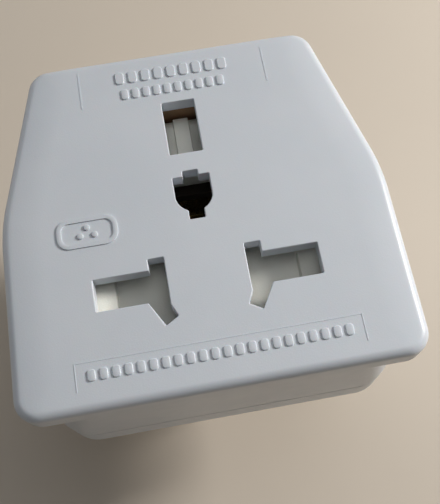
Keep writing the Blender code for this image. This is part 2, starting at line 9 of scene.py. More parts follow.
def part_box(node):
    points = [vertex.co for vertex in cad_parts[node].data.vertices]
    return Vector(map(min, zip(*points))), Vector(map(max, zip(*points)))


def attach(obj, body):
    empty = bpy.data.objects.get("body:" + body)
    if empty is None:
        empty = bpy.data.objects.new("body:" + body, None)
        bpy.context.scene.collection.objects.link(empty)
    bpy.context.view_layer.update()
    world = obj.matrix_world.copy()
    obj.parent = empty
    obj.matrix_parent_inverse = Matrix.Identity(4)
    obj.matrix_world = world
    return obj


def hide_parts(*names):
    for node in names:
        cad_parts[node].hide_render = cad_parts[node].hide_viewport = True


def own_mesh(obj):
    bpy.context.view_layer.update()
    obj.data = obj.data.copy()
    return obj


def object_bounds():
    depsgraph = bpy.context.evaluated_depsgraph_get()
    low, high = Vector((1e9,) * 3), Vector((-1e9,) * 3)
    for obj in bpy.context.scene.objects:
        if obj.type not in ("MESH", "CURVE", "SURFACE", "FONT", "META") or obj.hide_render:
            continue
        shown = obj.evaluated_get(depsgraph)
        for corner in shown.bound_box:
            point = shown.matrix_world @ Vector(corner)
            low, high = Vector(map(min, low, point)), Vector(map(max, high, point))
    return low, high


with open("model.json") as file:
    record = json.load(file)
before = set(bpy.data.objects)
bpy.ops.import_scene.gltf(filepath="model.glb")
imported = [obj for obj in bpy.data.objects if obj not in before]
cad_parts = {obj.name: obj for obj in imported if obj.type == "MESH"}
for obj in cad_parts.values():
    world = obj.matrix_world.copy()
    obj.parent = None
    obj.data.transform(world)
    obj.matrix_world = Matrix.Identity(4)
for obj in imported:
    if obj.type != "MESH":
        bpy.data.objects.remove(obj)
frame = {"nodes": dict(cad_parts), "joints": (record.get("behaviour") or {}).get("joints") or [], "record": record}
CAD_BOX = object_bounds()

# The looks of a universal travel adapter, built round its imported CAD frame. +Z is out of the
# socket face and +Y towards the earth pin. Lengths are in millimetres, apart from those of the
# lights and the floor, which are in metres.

MM = 0.001


def box_in_mm(node):
    """A node's lowest and highest corners at rest."""
    return [[c / MM for c in corner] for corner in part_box(node)]


# Places read from the frame
COVER_LOW, COVER_HIGH = box_in_mm("face_cover")
SHELL_LOW, SHELL_HIGH = box_in_mm("body_shell")
SHUTTER_LOW, SHUTTER_HIGH = box_in_mm("shutter")
DRAWER_LOW, DRAWER_HIGH = box_in_mm("fuse_carrier")
SPRING_LOW, SPRING_HIGH = box_in_mm("shutter_spring")
SHUTTER_TRAVEL = next(
    joint["range_m"][1] / MM for joint in frame["joints"] if joint["name"] == "shutter_slide")
FACE_Z, FLOOR_Z = COVER_HIGH[2], CAD_BOX[0][2] / MM
TOP_Y, BOTTOM_Y = COVER_HIGH[1], COVER_LOW[1]

OVERRUN = 1.0  # how far a cutter runs past the faces that it cuts
# A value named ROOT is how far an added shape runs into the one that carries it.

# Casing outline: sharp corners on the +X side and the radius that rounds each
TOP_HALF_WIDTH, KINK_HALF_WIDTH, BOTTOM_HALF_WIDTH, KINK_Y = 19.9, 26.0, 26.3, 11.7
TOP_RADIUS, KINK_RADIUS, BOTTOM_RADIUS = 2.9, 27.0, 3.2
CORNER_STEPS, LEAST_RADIUS = 14, 0.7
PLATE_THICKNESS, SKIRT_DEPTH, SKIRT_WALL = 2.2, 4.0, 1.3
BODY_INSET, BODY_WALL, GAP = 0.9, 1.7, 0.3
BODY_CORNER_RADIUS = 6.0
SIDE_DRAFT, DRAFT_START_Z, NECK_Z = 2.1, 9.0, 24.0  # the side walls draw in towards the cover
RIB_Y, RIB_DEPTH, RIB_Z = 6.0, 1.4, (11.0, 19.3)  # stiffening ribs inside the side walls
RIB_HALF_WIDTH, RIB_BACK = 1.0, 0.2  # a rib's back is this far in from the undrafted wall
SPLIT_Z, LIP_TOP, LIP_WALL, FLOOR_THICKNESS = 6.0, 8.5, 1.3, 3.0
EDGE_RADIUS, BASE_EDGE_RADIUS = 1.2, 0.8
ROLL_WIDTH, ROLL_DROP = 5.5, 0.42  # the face falls away softly beside both side edges
ROLL_RINGS = (1.6, 2.1, 2.7, 3.4, 4.1, 4.8, ROLL_WIDTH)  # insets of the loops that carry the fall
RUN_PARTS = 12  # how many parts a straight run of the cover's outline has

# Universal holes, for the line side
SLOT_OUTER_X, SLOT_HALF_HEIGHT = 14.7, 2.15
BLADE_INNER_X, BLADE_OUTER_X, BLADE_TOP_Y = 5.28, 7.4, 3.7
DIAGONAL_START_Y, DIAGONAL_RIGHT_X = -2.81, 8.05
DIAGONAL_TIPS = ((4.53, -4.44), (6.22, -5.45))
EARTH_Y, EARTH_SLOT_HALF_X, EARTH_SLOT_HALF_Y = 22.225, 2.28, 4.08
ROUND_HOLE_Y, ROUND_HOLE_RADIUS, ROUND_HOLE_TOP_Y = 11.9, 2.5, 14.6
CENTRE_SLOT_HALF_X, CENTRE_SLOT_Y = 1.05, (8.3, 15.4)

# Raised marks. A row of dashes is (y, half height, first x, last x, pitch, height above the face)
TOP_ROW = (31.3, 0.95, -8.4, 8.0, 1.9, 0.19)
SECOND_ROW = (28.6, 0.80, -7.8, 7.2, 1.5, 0.19)
LOWER_ROW = (-10.1, 0.75, -17.0, 17.0, 1.55, 0.17)
SIDE_RULE_X, SIDE_RULE_Y, SIDE_RULE_HALF = (-13.2, 13.0), 30.2, (0.10, 2.9)
LONG_RULE_Y, LONG_RULE_HALF, END_RULE_HALF = -8.35, (18.2, 0.07), (0.07, 1.8)
RULE_HEIGHT, BADGE_HEIGHT, PIP_HEIGHT, PAD_ROOT = 0.035, 0.16, 0.2, 0.5
BADGE_CENTRE, BADGE_HALF, BADGE_RADIUS, BADGE_RIM = (-14.6, 8.9), (4.0, 2.1), 1.6, 0.6
BADGE_INNER_RADIUS, PIP_HALF, PIP_RADIUS = 1.05, 0.42, 0.40
PIP_PLACES = ((0.0, 0.62), (-0.95, -0.5), (0.95, -0.5))  # from the badge's centre

# Shutter
WING_X = (3.6, 12.2, SHUTTER_HIGH[0])  # inner edge, foot of the upturned end, outer edge
WING_Y, WING_Z = (SHUTTER_LOW[1], 5.4), (23.3, 25.2)
RISER_RUN, RISER_HEIGHT, WING_RISE = 0.15, 0.7, 1.7  # the upturned end, above the wing's top
ARM_OUTER_X, ARM_TOP = 5.4, 25.0
ARM_OVERLAP = (2.4, 1.0)  # how far an arm runs into its wing and into the tongue
CROSSBAR_Y, TONGUE_Y, TONGUE_TOP = (6.2, 7.7), (16.4, SHUTTER_HIGH[1]), 25.4
RIB_RISE, TONGUE_RIB_HALF_X, TONGUE_RIB_START = 0.8, 1.1, 0.4
SCREEN_HALF_X, SCREEN_THICKNESS = 4.4, 1.1  # the low wall behind the tongue
SCREEN_FOOT = 1.7  # how far the wall reaches below the shutter

# Pins, screws and fuse drawer
PIN_X, PIN_WIDTH, PIN_THICKNESS, PIN_LENGTH = 11.11, 6.35, 4.0, 17.7
SLEEVE_LENGTH, SLEEVE_WALL = 9.5, 0.45
EARTH_LENGTH, EARTH_HALF_X, EARTH_HALF_Y = 22.73, 2.0, 4.0
FLANGE_HALF_X, FLANGE_HALF_Y, FLANGE_TOP = 4.1, 2.9, 5.0  # the collar that seats each pin in the base
STEM_HALF, RIVET_HOLE_RADIUS, RIVET_HOLE_DEPTH = 1.6, 0.9, 1.0
EARTH_FLANGE = (1.0, 0.9)  # how far the earth pin's collar stands out past its blade
EARTH_STEM_EXTRA = 0.8  # how much further the earth pin's stem reaches along Y than the others'
LINE_STEM_TOP, NEUTRAL_STEM_TOP = 6.2, 8.3
FUSE_Y, FUSE_Z, FUSE_RADIUS, FUSE_TUBE_RADIUS = 10.2, 6.2, 3.15, 2.55
FUSE_HALF_LENGTH, FUSE_CAP_LENGTH, FUSE_END_GAP = 12.7, 6.0, 0.9
DRAWER_FLOOR, SADDLE_HALF_X, STOP_X, STOP_TOP = 1.8, 6.0, (13.1, 14.4), 7.0
STOP_HALF_Y, DRAWER_ROOT = 3.0, 0.3
GROOVE_COUNT, GROOVE_PITCH, GROOVE_DEPTH = 5, 1.5, 0.35
GROOVE_HALF, GROOVE_RADIUS = (0.32, 2.2), 0.3
GROOVE_SHIFT = 0.9  # from under the fuse towards the earth pin
SCREW_PLACES = {"left": (-13.0, 28.0), "right": (13.0, 28.0), "front": (0.0, -9.0)}
POST_RADIUS, BOSS_RADIUS, PILOT_RADIUS = 2.3, 2.5, 1.45
SHANK_RADIUS, HEAD_RADIUS = 1.15, 2.4
PILOT_TOP, HEAD_SEAT_Z, BOSS_FOOT, POST_ROOT = 15.0, 2.4, 2.0, 0.5
THREAD_PITCH, THREAD_DEPTH, THREAD_Z = 0.8, 0.22, (2.9, 11.8)

# Camera, fitted to the outlines of the holes and the face. Its height is above the face.
CAMERA_X, CAMERA_Y, CAMERA_HEIGHT = -1.3, -31.5, 90.9
CAMERA_FORWARD, CAMERA_UP = (0.056, 0.324, -0.944), (0.17, 0.929, 0.329)
CAMERA_LENS, CAMERA_SHIFT = 53.57, (-0.040, 0.042)

replaced_nodes = set()  # CAD nodes that a finer piece stands for


# ---------------------------------------------------------------- shapes

def place(name, data):
    """A new object in the scene, at the origin."""
    item = bpy.data.objects.new(name, data)
    bpy.context.scene.collection.objects.link(item)
    return item


def place_shape(name, shape):
    """A new object with a bmesh's mesh, which frees the bmesh."""
    mesh = bpy.data.meshes.new(name)
    shape.to_mesh(mesh)
    shape.free()
    return place(name, mesh)


def loft(name, loops, ring=False):
    """A closed solid through loops of equal length; a ring joins its last loop to its first."""
    shape = bmesh.new()
    rows = [[shape.verts.new([c * MM for c in point]) for point in loop] for loop in loops]
    count = len(rows[0])
    pairs = list(zip(rows, rows[1:]))
    if ring:
        pairs.append((rows[-1], rows[0]))
    else:
        shape.faces.new(rows[0])
        shape.faces.new(rows[-1])
    for low, high in pairs:
        for i in range(count):
            j = (i + 1) % count
            shape.faces.new((low[i], low[j], high[j], high[i]))
    bmesh.ops.recalc_face_normals(shape, faces=shape.faces)
    return place_shape(name, shape)


def bar(name, sections):
    """A solid through rectangles, each given as (z, x0, x1, y0, y1)."""
    return loft(name, [
        [(x0, y0, z), (x1, y0, z), (x1, y1, z), (x0, y1, z)] for z, x0, x1, y0, y1 in sections])


def box(name, x, y, z):
    return bar(name, [(z[0], *x, *y), (z[1], *x, *y)])


def prism(name, outline, axis, span):
    """Extrude an outline along X or Z; on X the outline's points are (y, z)."""
    if axis == "X":
        return loft(name, [[(level, a, b) for a, b in outline] for level in span])
    return loft(name, [[(a, b, level) for a, b in outline] for level in span])


def turned(name, centre, profile, axis="Z", sides=48, ring=False):
    """A round solid from a profile of (radius, level) along an axis through centre."""
    loops = []
    for radius, level in profile:
        loop = []
        for i in range(sides):
            angle = 2 * math.pi * i / sides
            a, b = radius * math.cos(angle), radius * math.sin(angle)
            if axis == "Z":
                loop.append((centre[0] + a, centre[1] + b, level))
            else:
                loop.append((level, centre[0] + a, centre[1] + b))
        loops.append(loop)
    return loft(name, loops, ring)


def settle(item):
    """Apply an object's modifiers to its mesh."""
    depsgraph = bpy.context.evaluated_depsgraph_get()
    mesh = bpy.data.meshes.new_from_object(item.evaluated_get(depsgraph))
    item.modifiers.clear()
    item.data = mesh
    return item


def combine(target, helpers, operation="UNION"):
    for helper in helpers:
        modifier = target.modifiers.new(helper.name, "BOOLEAN")
        modifier.operation = operation
        modifier.object = helper
        modifier.solver = "EXACT"
    settle(target)
    for helper in helpers:
        bpy.data.objects.remove(helper, do_unlink=True)
    return target


def cut(target, helpers):
    return combine(target, helpers, "DIFFERENCE")


def soften(item, width, segments=3, angle=35):
    """Round every edge sharper than angle by width millimetres, and shade smoothly."""
    bevel = item.modifiers.new("edge_radius", "BEVEL")
    bevel.width = width * MM
    bevel.segments = segments
    bevel.limit_method = "ANGLE"
    bevel.angle_limit = math.radians(angle)
    bevel.miter_outer = "MITER_ARC"
    bevel.use_clamp_overlap = True
    bevel.harden_normals = False
    settle(item)
    item.data.shade_smooth()
    item.data.set_sharp_from_angle(angle=math.radians(40))
    weighted = item.modifiers.new("even_shading", "WEIGHTED_NORMAL")
    weighted.keep_sharp = True
    return item


def mirrored_span(side, a, b):
    return sorted((side * a, side * b))


def edge_line(start, end, inset):
    """A clockwise outline's edge moved inwards, as a point and a unit direction."""
    dx, dy = end[0] - start[0], end[1] - start[1]
    length = math.hypot(dx, dy)
    dx, dy = dx / length, dy / length
    return (start[0] + dy * inset, start[1] - dx * inset), (dx, dy)


def line_crossing(first, second):
    (px, py), (ux, uy) = first
    (qx, qy), (vx, vy) = second
    step = ((qx - px) * vy - (qy - py) * vx) / (ux * vy - uy * vx)
    return (px + ux * step, py + uy * step)


def corner_arc(before, corner, after, radius):
    """Points of the arc that rounds a corner between two straight edges."""
    to_before = math.atan2(before[1] - corner[1], before[0] - corner[0])
    to_after = math.atan2(after[1] - corner[1], after[0] - corner[0])
    turn = (to_after - to_before) % (2 * math.pi)
    half = turn / 2 if turn < math.pi else turn / 2 - math.pi
    middle = to_before + half
    reach = radius / math.sin(abs(half))
    centre = (corner[0] + reach * math.cos(middle), corner[1] + reach * math.sin(middle))
    sweep = math.pi - 2 * abs(half)
    first = middle + math.pi + sweep / 2
    return [
        (
            centre[0] + radius * math.cos(first - sweep * k / CORNER_STEPS),
            centre[1] + radius * math.sin(first - sweep * k / CORNER_STEPS),
        )
        for k in range(CORNER_STEPS + 1)
    ]


def sharp_outline():
    right = [(TOP_HALF_WIDTH, TOP_Y), (KINK_HALF_WIDTH, KINK_Y), (BOTTOM_HALF_WIDTH, BOTTOM_Y)]
    return right + [(-x, y) for x, y in reversed(right)]


def casing_outline(z, inset, draft=0.0, bottom_radius=BOTTOM_RADIUS):
    """The rounded casing outline at level z, moved inwards by inset, and by draft more at the sides."""
    radii = [TOP_RADIUS, KINK_RADIUS, bottom_radius]
    radii = radii + radii[::-1]
    sharp = sharp_outline()
    count = len(sharp)
    edges = []
    for i in range(count):
        is_side = i % 3 != 0  # edges 0 and 3 are the top and the bottom
        edges.append(edge_line(sharp[i - 1], sharp[i], inset + draft if is_side else inset))
    moved = [line_crossing(edges[i], edges[(i + 1) % count]) for i in range(count)]
    points = []
    for i in range(count):
        radius = max(radii[i] - inset, LEAST_RADIUS)
        points += corner_arc(moved[i - 1], moved[i], moved[(i + 1) % count], radius)
    return [(x, y, z) for x, y in points]


def casing_solid(name, levels, ring=False, bottom_radius=BOTTOM_RADIUS):
    """A solid following the casing outline through (z, inset) or (z, inset, draft) levels."""
    loops = [casing_outline(*level, bottom_radius=bottom_radius) for level in levels]
    return loft(name, loops, ring)


def at_screws(prefix, radius, z):
    """A round bar over z at each screw, to add or to cut with."""
    return [
        turned(f"{prefix}_{side}", centre, [(radius, z[0]), (radius, z[1])])
        for side, centre in SCREW_PLACES.items()
    ]


def rounded_rectangle(centre, half_x, half_y, radius, steps=6):
    points = []
    for sx, sy, start in ((1, 1, 0), (-1, 1, 90), (-1, -1, 180), (1, -1, 270)):
        for k in range(steps + 1):
            angle = math.radians(start + 90 * k / steps)
            points.append((
                centre[0] + sx * (half_x - radius) + radius * math.cos(angle),
                centre[1] + sy * (half_y - radius) + radius * math.sin(angle)))
    return points


# ---------------------------------------------------------------- materials

class Shader:
    """A Principled material and the few nodes that vary it over the surface."""

    def __init__(self, name, colour, roughness, metallic=0.0):
        self.material = bpy.data.materials.new(name)
        self.material.use_nodes = True
        self.nodes = self.material.node_tree.nodes
        self.links = self.material.node_tree.links
        self.shader = self.nodes["Principled BSDF"]
        self.shader.inputs["Base Color"].default_value = (*colour, 1.0)
        self.shader.inputs["Roughness"].default_value = roughness
        self.shader.inputs["Metallic"].default_value = metallic
        self.coordinates = self.nodes.new("ShaderNodeTexCoord")
        self.height = None

    def fixed(self, **values):
        for name, value in values.items():
            self.shader.inputs[name.replace("_", " ")].default_value = value
        return self

    def position(self, stretch=(1, 1, 1)):
        mapping = self.nodes.new("ShaderNodeMapping")
        mapping.inputs["Scale"].default_value = stretch
        self.links.new(self.coordinates.outputs["Object"], mapping.inputs["Vector"])
        return mapping.outputs["Vector"]

    def noise(self, size_mm, detail=4.0, stretch=(1, 1, 1), roughness=0.55):
        """Cloudy noise whose blotches are about size_mm wide."""
        node = self.nodes.new("ShaderNodeTexNoise")
        node.inputs["Scale"].default_value = 1.0 / (size_mm * MM)
        node.inputs["Detail"].default_value = detail
        node.inputs["Roughness"].default_value = roughness
        self.links.new(self.position(stretch), node.inputs["Vector"])
        return node.outputs["Fac"]

    def scratches(self, size_mm, width):
        """Thin curved lines where a stretched noise crosses its middle value."""
        source = self.noise(size_mm, 2.0, (1.0, 0.35, 1.0))
        offset = self.calculate("SUBTRACT", source, 0.5)
        distance = self.calculate("ABSOLUTE", offset)
        return self.span(distance, 0.0, width, 1.0, 0.0)

    def calculate(self, operation, first, second=None):
        node = self.nodes.new("ShaderNodeMath")
        node.operation = operation
        self.links.new(first, node.inputs[0])
        if second is None:
            return node.outputs[0]
        if isinstance(second, (int, float)):
            node.inputs[1].default_value = second
        else:
            self.links.new(second, node.inputs[1])
        return node.outputs[0]

    def span(self, value, low, high, to_low, to_high):
        node = self.nodes.new("ShaderNodeMapRange")
        for name, number in zip(("From Min", "From Max", "To Min", "To Max"),
                                (low, high, to_low, to_high)):
            node.inputs[name].default_value = number
        self.links.new(value, node.inputs["Value"])
        return node.outputs["Result"]

    def mix(self, factor, first, second):
        node = self.nodes.new("ShaderNodeMix")
        node.data_type = "RGBA"
        self.links.new(factor, node.inputs["Factor"])
        for socket, value in ((node.inputs["A"], first), (node.inputs["B"], second)):
            if isinstance(value, tuple):
                socket.default_value = (*value, 1.0)
            else:
                self.links.new(value, socket)
        return node.outputs["Result"]

    def colour(self, output):
        self.links.new(output, self.shader.inputs["Base Color"])
        return self

    def roughness(self, output):
        self.links.new(output, self.shader.inputs["Roughness"])
        return self

    def bump(self, output, depth_mm, strength=1.0):
        node = self.nodes.new("ShaderNodeBump")
        node.inputs["Strength"].default_value = strength
        node.inputs["Distance"].default_value = depth_mm * MM
        self.links.new(output, node.inputs["Height"])
        if self.height:
            self.links.new(self.height, node.inputs["Normal"])
        self.height = node.outputs["Normal"]
        self.links.new(self.height, self.shader.inputs["Normal"])
        return self


def moulded_plastic(name, light, dark, roughness, grain=0.012):
    """Injection-moulded plastic: faint tone drift, fine texture, slight sink and rub marks."""
    made = Shader(name, light, roughness)
    made.fixed(IOR=1.49, Subsurface_Weight=0.06, Subsurface_Scale=0.0012)
    drift = made.span(made.noise(14.0, 3.0), 0.35, 0.65, 0.0, 1.0)
    made.colour(made.mix(drift, light, dark))
    rubbed = made.noise(2.2, 5.0)
    worn = made.scratches(5.0, 0.006)
    base = made.span(rubbed, 0.3, 0.7, roughness - 0.05, roughness + 0.06)
    made.roughness(made.calculate("ADD", base, made.calculate("MULTIPLY", worn, 0.08)))
    made.bump(made.noise(16.0, 1.0), 0.10)
    made.bump(made.noise(0.22, 3.0), grain)
    return made.material


def drawn_brass(name, light, dark, roughness):
    """Brass with lengthwise drawing lines, tarnish blotches and rubbed streaks."""
    made = Shader(name, light, roughness, metallic=1.0)
    tarnish = made.span(made.noise(6.0, 3.0, (1.0, 1.0, 0.4)), 0.45, 0.85, 0.0, 0.55)
    made.colour(made.mix(tarnish, light, dark))
    lines = made.noise(0.12, 3.0, (1.0, 1.0, 0.03))
    base = made.span(lines, 0.3, 0.7, roughness - 0.06, roughness + 0.08)
    made.roughness(made.calculate("ADD", base, made.calculate("MULTIPLY", tarnish, 0.14)))
    made.bump(lines, 0.008)
    made.bump(made.noise(5.0, 2.0), 0.03)
    return made.material


def bright_metal(name, light, dark, roughness):
    """Plated or zinc-coated metal with dull patches."""
    made = Shader(name, light, roughness, metallic=1.0)
    dull = made.span(made.noise(1.8, 5.0), 0.4, 0.7, 0.0, 1.0)
    made.colour(made.mix(dull, light, dark))
    made.roughness(made.span(made.noise(0.5, 4.0), 0.3, 0.7, roughness - 0.05, roughness + 0.1))
    made.bump(made.noise(0.3, 3.0), 0.006)
    return made.material


def make_materials():
    plastic, metal = moulded_plastic, bright_metal
    return {
        "casing": plastic("white_moulding", (0.72, 0.75, 0.79), (0.69, 0.725, 0.77), 0.33),
        # near-black brown deck: painted shade, the darkness of the deep holes put into the deck's own colour
        "inner_moulding": plastic(
            "deck_painted_shade", (0.075, 0.058, 0.042), (0.05, 0.038, 0.028), 0.50, 0.02),
        # brown screen colour: painted shade and painted warm reflection, standing for white plastic lit only by
        # light bounced into the slot
        "screen": plastic("screen_painted_shade", (0.42, 0.25, 0.14), (0.35, 0.20, 0.11), 0.50, 0.02),
        "shutter_plastic": plastic(
            "shutter_moulding", (0.80, 0.79, 0.71), (0.76, 0.75, 0.68), 0.42, 0.02),
        "brass": drawn_brass("drawn_brass", (0.80, 0.64, 0.34), (0.60, 0.43, 0.20), 0.27),
        "sleeve_plastic": plastic(
            "sleeve_moulding", (0.028, 0.028, 0.03), (0.018, 0.018, 0.02), 0.42, 0.02),
        "steel": metal("zinc_steel", (0.62, 0.62, 0.64), (0.46, 0.46, 0.47), 0.30),
        "plated_cap": metal("nickel_plate", (0.76, 0.75, 0.71), (0.60, 0.58, 0.54), 0.22),
        "ceramic": plastic("fuse_ceramic", (0.78, 0.76, 0.70), (0.70, 0.67, 0.60), 0.55, 0.03),
    }


def finish_piece(item, material, body, material_slot, *nodes):
    """Give a piece its material and body, in place of the CAD nodes named; its material slot is not used."""
    item.data.materials.clear()
    item.data.materials.append(material)
    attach(item, body)
    if nodes:
        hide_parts(*nodes)
        replaced_nodes.update(nodes)
    return item


# ---------------------------------------------------------------- casing pieces

def slot_outline(side):
    points = [
        (SLOT_OUTER_X, SLOT_HALF_HEIGHT),
        (BLADE_OUTER_X, SLOT_HALF_HEIGHT),
        (BLADE_OUTER_X, BLADE_TOP_Y),
        (BLADE_INNER_X, BLADE_TOP_Y),
        (BLADE_INNER_X, DIAGONAL_START_Y),
        DIAGONAL_TIPS[0],
        DIAGONAL_TIPS[1],
        (DIAGONAL_RIGHT_X, -SLOT_HALF_HEIGHT),
        (SLOT_OUTER_X, -SLOT_HALF_HEIGHT),
    ]
    return [(side * x, y) for x, y in points]


def round_hole_outline():
    low, high = CENTRE_SLOT_Y
    start = math.acos(CENTRE_SLOT_HALF_X / ROUND_HOLE_RADIUS)
    steps = 14
    arc = [
        (
            ROUND_HOLE_RADIUS * math.cos(start * k / steps),
            ROUND_HOLE_Y - ROUND_HOLE_RADIUS * math.sin(start * k / steps),
        )
        for k in range(steps + 1)
    ]
    right = [
        (CENTRE_SLOT_HALF_X, high),
        (CENTRE_SLOT_HALF_X, ROUND_HOLE_TOP_Y),
        (ROUND_HOLE_RADIUS, ROUND_HOLE_TOP_Y),
        *arc,
        (CENTRE_SLOT_HALF_X, low),
    ]
    return right + [(-x, y) for x, y in reversed(right)]


def face_drop(x, y):
    """How far the face has fallen at a point, by its distance from the nearer side edge."""
    top, kink, bottom = sharp_outline()[:3]
    near = ROLL_WIDTH
    for start, end in ((top, kink), (kink, bottom)):
        (px, py), (dx, dy) = edge_line(start, end, 0.0)
        near = min(near, abs((abs(x) - px) * dy - (y - py) * dx))
    return ROLL_DROP * (1 - near / ROLL_WIDTH) ** 2


def divided(loop, parts):
    """A casing outline with its straight runs divided, closest near their ends."""
    arc = CORNER_STEPS + 1
    points = []
    for first in range(0, len(loop), arc):
        points += loop[first:first + arc]
        start, end = loop[first + CORNER_STEPS], loop[(first + arc) % len(loop)]
        for k in range(1, parts):
            part = (1 - math.cos(math.pi * k / parts)) / 2
            points.append(tuple(a + (b - a) * part for a, b in zip(start, end)))
    return points


def make_cover(materials):
    under, skirt = FACE_Z - PLATE_THICKNESS, FACE_Z - SKIRT_DEPTH
    rounding_foot, steps = FACE_Z - EDGE_RADIUS, 8
    levels = [(skirt, 0.0), (rounding_foot, 0.0)]
    for k in range(1, steps + 1):
        angle = math.pi / 2 * k / steps
        rise, inset = EDGE_RADIUS * math.sin(angle), EDGE_RADIUS - EDGE_RADIUS * math.cos(angle)
        levels.append((rounding_foot + rise, inset))
    levels += [(FACE_Z, inset) for inset in ROLL_RINGS]
    cover = loft("socket_cover", [divided(casing_outline(*level), RUN_PARTS) for level in levels])
    for vertex in cover.data.vertices:
        x, y, z = (c / MM for c in vertex.co)
        if z > under:
            vertex.co.z -= face_drop(x, y) * (z - under) / (FACE_Z - under) * MM
    cut(cover, [casing_solid("cover_hollow", [(skirt - OVERRUN, SKIRT_WALL), (under, SKIRT_WALL)])])
    combine(cover, at_screws("cover_post", POST_RADIUS, (LIP_TOP + GAP, under + POST_ROOT)))
    through = (under - OVERRUN, FACE_Z + OVERRUN)
    earth_y = (EARTH_Y - EARTH_SLOT_HALF_Y, EARTH_Y + EARTH_SLOT_HALF_Y)
    cut(cover, [
        prism("line_hole", slot_outline(1), "Z", through),
        prism("neutral_hole", slot_outline(-1), "Z", through),
        prism("round_hole", round_hole_outline(), "Z", through),
        box("earth_hole", (-EARTH_SLOT_HALF_X, EARTH_SLOT_HALF_X), earth_y, through),
        *at_screws("pilot", PILOT_RADIUS, (SPLIT_Z, PILOT_TOP)),
    ])
    soften(cover, width=0.28, segments=4)
    return finish_piece(cover, materials["casing"], "casing", "casing", "face_cover")


def raised_pad(name, outline, height, draft=0.17):
    """A low moulded pad with drafted sides, rooted in the face."""
    cx = sum(x for x, _ in outline) / len(outline)
    cy = sum(y for _, y in outline) / len(outline)
    drop = face_drop(cx, cy)
    crown = ((height * 0.55, 0.0), (height * 0.9, draft * 0.5), (height, draft))
    loops = []
    for z, shrink in ((-PAD_ROOT, 0.0), *crown):
        loop = []
        for x, y in outline:
            reach = math.hypot(x - cx, y - cy)
            scale = 1 - shrink / reach
            loop.append((cx + (x - cx) * scale, cy + (y - cy) * scale, FACE_Z - drop + z))
        loops.append(loop)
    return loft(name, loops)


def make_dashes(row):
    y, half_height, first, last, pitch, height = row
    count = round((last - first) / pitch)
    step = (last - first) / count
    half_width, radius = step * 0.34, step * 0.22
    dashes = []
    for i in range(count):
        outline = rounded_rectangle((first + step * (i + 0.5), y), half_width, half_height, radius, 4)
        dashes.append(raised_pad(f"dash_{i}", outline, height))
    return dashes


def make_rules():
    """Thin rules beside the two top rows, and above and beside the lower one."""
    end_x, end_y = LONG_RULE_HALF[0], LOWER_ROW[0]
    rules = [((x, SIDE_RULE_Y), SIDE_RULE_HALF) for x in SIDE_RULE_X]
    rules.append(((0.0, LONG_RULE_Y), LONG_RULE_HALF))
    rules += [((x, end_y), END_RULE_HALF) for x in (end_x, -end_x)]
    return [
        raised_pad("rule", rounded_rectangle(centre, *half, 0.06, 3), RULE_HEIGHT, draft=0.02)
        for centre, half in rules
    ]


def make_badge_frame():
    outer = rounded_rectangle(BADGE_CENTRE, *BADGE_HALF, BADGE_RADIUS, 8)
    inner_half = [half - BADGE_RIM for half in BADGE_HALF]
    inner = rounded_rectangle(BADGE_CENTRE, *inner_half, BADGE_INNER_RADIUS, 8)
    face = FACE_Z - face_drop(*BADGE_CENTRE)
    rings = [(outer, -PAD_ROOT), (outer, BADGE_HEIGHT), (inner, BADGE_HEIGHT), (inner, -PAD_ROOT)]
    loops = [[(x, y, face + z) for x, y in outline] for outline, z in rings]
    return loft("badge_frame", loops, ring=True)


def make_badge_pips():
    pips = []
    for x, y in PIP_PLACES:
        centre = (BADGE_CENTRE[0] + x, BADGE_CENTRE[1] + y)
        outline = rounded_rectangle(centre, PIP_HALF, PIP_HALF, PIP_RADIUS, 5)
        pips.append(raised_pad("badge_pip", outline, PIP_HEIGHT, draft=0.1))
    return pips


def make_relief(materials):
    """Plain raised marks where such a face usually carries moulded lettering."""
    pads = [*make_dashes(TOP_ROW), *make_dashes(SECOND_ROW), *make_dashes(LOWER_ROW)]
    pads += [*make_rules(), make_badge_frame(), *make_badge_pips()]
    shape = bmesh.new()
    for pad in pads:
        shape.from_mesh(pad.data)
        bpy.data.objects.remove(pad, do_unlink=True)
    relief = place_shape("cover_relief", shape)
    soften(relief, width=0.06, segments=2, angle=25)
    return finish_piece(relief, materials["casing"], "casing", "casing")


def make_shell(materials):
    collar = FACE_Z - SKIRT_DEPTH - GAP
    low, high = SHELL_LOW[2], SHELL_HIGH[2]
    rim_outer, inner = SKIRT_WALL + GAP, BODY_INSET + BODY_WALL
    levels = [
        (low, BODY_INSET),
        (DRAFT_START_Z, BODY_INSET),
        (NECK_Z, BODY_INSET, SIDE_DRAFT),
        (collar, BODY_INSET),
        (collar, rim_outer),
        (high, rim_outer),
        (high, inner),
        (collar, inner),
        (NECK_Z, inner, SIDE_DRAFT),
        (DRAFT_START_Z, inner),
        (low, inner),
    ]
    shell = casing_solid("body_sleeve", levels, True, BODY_CORNER_RADIUS)
    wall_x = BOTTOM_HALF_WIDTH - inner
    ribs = []
    for side in (-1, 1):
        rib_x = mirrored_span(side, wall_x - SIDE_DRAFT - RIB_DEPTH, wall_x - RIB_BACK)
        for y in (-RIB_Y, RIB_Y):
            ribs.append(box("rib", rib_x, (y - RIB_HALF_WIDTH, y + RIB_HALF_WIDTH), RIB_Z))
    combine(shell, ribs)
    past = 0.5  # into the hollow, and out of the rim at the back of a notch
    y = (SHUTTER_LOW[1] - SHUTTER_TRAVEL - GAP, BOTTOM_Y + inner + past)
    inner_x, riser_x, outer_x = WING_X
    pockets = []
    for side in (-1, 1):
        pockets += [
            box(f"wing_pocket_{side}", mirrored_span(side, inner_x - GAP, outer_x + GAP), y,
                (WING_Z[0] - GAP, collar + GAP)),
            box(f"rim_notch_{side}", mirrored_span(side, riser_x - GAP, outer_x + GAP),
                (y[0] - past, y[1]), (collar - 0.1, high + OVERRUN)),
        ]
    cut(shell, pockets)
    soften(shell, width=0.22)
    return finish_piece(shell, materials["casing"], "casing", "casing", "body_shell")


